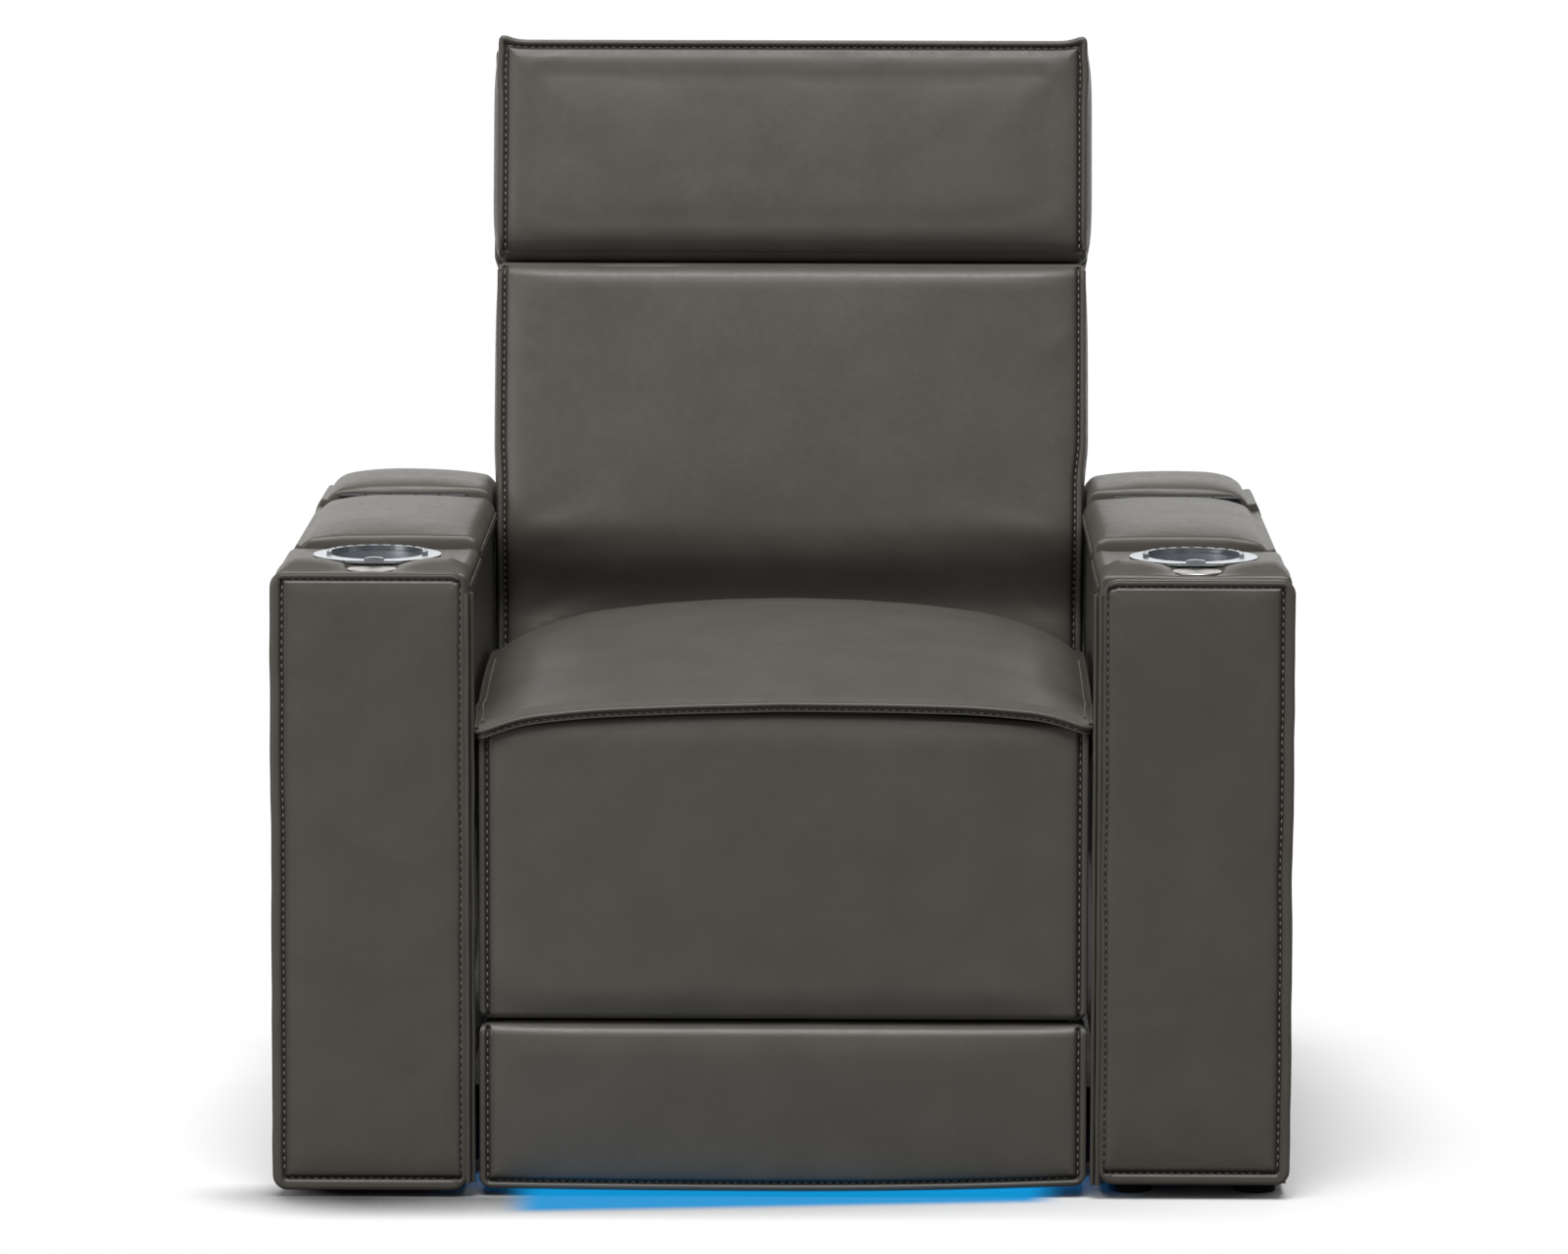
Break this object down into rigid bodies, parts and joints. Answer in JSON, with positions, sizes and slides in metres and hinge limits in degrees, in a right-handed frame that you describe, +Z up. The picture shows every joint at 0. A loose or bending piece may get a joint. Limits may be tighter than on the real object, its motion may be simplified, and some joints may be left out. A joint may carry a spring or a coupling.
{
  "type": "cinema recliner seat",
  "caption": "Upholstered cinema recliner seat with padded arms, cup wells, lidded arm storage, swing-up leg rest, reclining back and tilting headrest.",
  "frame": {"origin": "on the floor, under the middle of the bounding box", "axes": "+Z up; the front of the seat faces -Y; X runs across the seat, +X to the right as seen from the front"},
  "size_m": [0.95, 0.864, 1.0449],
  "materials": {
    "leather_panel": "smooth taupe-grey bonded leather with fine grain",
    "leather_seat": "smooth taupe-grey leather over foam",
    "plywood": "bare birch plywood",
    "frame_steel": "black powder coat",
    "zinc_steel": "bright zinc plate",
    "silver_trim": "satin silver",
    "turned_steel": "turned face with radial sheen",
    "cup_steel": "brushed lengthwise",
    "black_plastic": "fine matt texture",
    "nylon": "smooth natural nylon",
    "led_lens": "frosted blue light diffuser",
    "foot_rubber": "dull black"
  },
  "bodies": {
    "base": {"arm_case_left": "leather_panel", "arm_case_right": "leather_panel", "arm_front_pad_left": "leather_panel", "arm_front_pad_right": "leather_panel", "arm_top_pad_left": "leather_panel", "arm_top_pad_right": "leather_panel", "arm_rear_pad_left": "leather_panel", "arm_rear_pad_right": "leather_panel", "storage_tub_left": "black_plastic", "storage_tub_right": "black_plastic", "cup_well_left": "cup_steel", "cup_well_right": "cup_steel", "cup_bezel_left": "silver_trim", "cup_bezel_right": "silver_trim", "cup_rim_left": "silver_trim", "cup_rim_right": "silver_trim", "switch_housing_left": "black_plastic", "switch_housing_right": "black_plastic", "dock_sleeve_left": "black_plastic", "dock_sleeve_right": "black_plastic", "lid_fixed_leaf_left": "zinc_steel", "lid_fixed_leaf_right": "zinc_steel", "base_frame": "frame_steel", "glide_feet": "foot_rubber", "led_strip": "led_lens", "power_supply": "black_plastic", "glide_screw": "zinc_steel"},
    "seat": {"seat_side_plate_left": "frame_steel", "seat_side_plate_right": "frame_steel", "seat_rollers": "nylon", "seat_frame": "frame_steel", "seat_springs": "zinc_steel", "seat_cushion": "leather_seat", "leg_gearmotor": "black_plastic"},
    "back": {"back_frame": "frame_steel", "back_cushion": "leather_seat", "back_shell": "leather_panel", "back_springs": "zinc_steel"},
    "headrest": {"headrest_frame": "frame_steel", "headrest_cushion": "leather_seat", "headrest_shell": "leather_panel"},
    "leg_rest": {"leg_board": "plywood", "leg_brackets": "frame_steel", "leg_pad_upper": "leather_seat", "leg_pad_lower": "leather_seat"},
    "leg_crank": {"leg_crank": "zinc_steel"},
    "leg_rods": {"leg_rods": "zinc_steel"},
    "lid_left": {"lid_board_left": "plywood", "lid_pad_left": "leather_panel", "lid_leaf_left": "zinc_steel"},
    "rocker_left": {"rocker_left": "silver_trim"},
    "dock_cap_left": {"dock_cap_left": "turned_steel"},
    "lid_right": {"lid_board_right": "plywood", "lid_pad_right": "leather_panel", "lid_leaf_right": "zinc_steel"},
    "rocker_right": {"rocker_right": "silver_trim"},
    "dock_cap_right": {"dock_cap_right": "turned_steel"}
  },
  "joints": [
    {"name": "seat_glide", "type": "slide", "parent": "base", "child": "seat", "axis": [0, -1, 0], "range_m": [0, 0.09]},
    {"name": "back_recline", "type": "hinge", "parent": "seat", "child": "back", "pos_m": [0, 0.15799, 0.338], "axis": [-1, 0, 0], "range_deg": [0, 45]},
    {"name": "headrest_tilt", "type": "hinge", "parent": "back", "child": "headrest", "pos_m": [0, 0.23745, 0.85131], "axis": [1, 0, 0], "range_deg": [0, 38]},
    {"name": "leg_swing", "type": "hinge", "parent": "seat", "child": "leg_rest", "pos_m": [0, -0.40601, 0.43], "axis": [-1, 0, 0], "range_deg": [0, 85]},
    {"name": "leg_crank_turn", "type": "hinge", "parent": "seat", "child": "leg_crank", "pos_m": [0, -0.05201, 0.335], "axis": [-1, 0, 0], "range_deg": [0, 85]},
    {"name": "leg_rod_turn", "type": "hinge", "parent": "leg_crank", "child": "leg_rods", "pos_m": [0, 0.01999, 0.24], "axis": [-1, 0, 0], "range_deg": [-85, 0]},
    {"name": "lid_swing_left", "type": "hinge", "parent": "base", "child": "lid_left", "pos_m": [-0.3865, 0.14599, 0.598], "axis": [-1, 0, 0], "range_deg": [0, 88]},
    {"name": "lid_swing_right", "type": "hinge", "parent": "base", "child": "lid_right", "pos_m": [0.3865, 0.14599, 0.598], "axis": [-1, 0, 0], "range_deg": [0, 88]},
    {"name": "rocker_press_left", "type": "hinge", "parent": "base", "child": "rocker_left", "pos_m": [-0.3865, -0.33551, 0.586], "axis": [0, 1, 0], "range_deg": [-4, 4], "stiffness_Nm_per_rad": 0.05},
    {"name": "rocker_press_right", "type": "hinge", "parent": "base", "child": "rocker_right", "pos_m": [0.3865, -0.33551, 0.586], "axis": [0, 1, 0], "range_deg": [-4, 4], "stiffness_Nm_per_rad": 0.05},
    {"name": "dock_cap_lift_left", "type": "slide", "parent": "base", "child": "dock_cap_left", "axis": [0, 0, 1], "range_m": [0, 0.014]},
    {"name": "dock_cap_lift_right", "type": "slide", "parent": "base", "child": "dock_cap_right", "axis": [0, 0, 1], "range_m": [0, 0.014]}
  ],
  "couplings": [
    {"joint": "back_recline", "follows": "seat_glide", "rad_per_m": 8.7266},
    {"joint": "leg_crank_turn", "follows": "leg_swing", "ratio": 1},
    {"joint": "leg_rod_turn", "follows": "leg_swing", "ratio": -1}
  ]
}
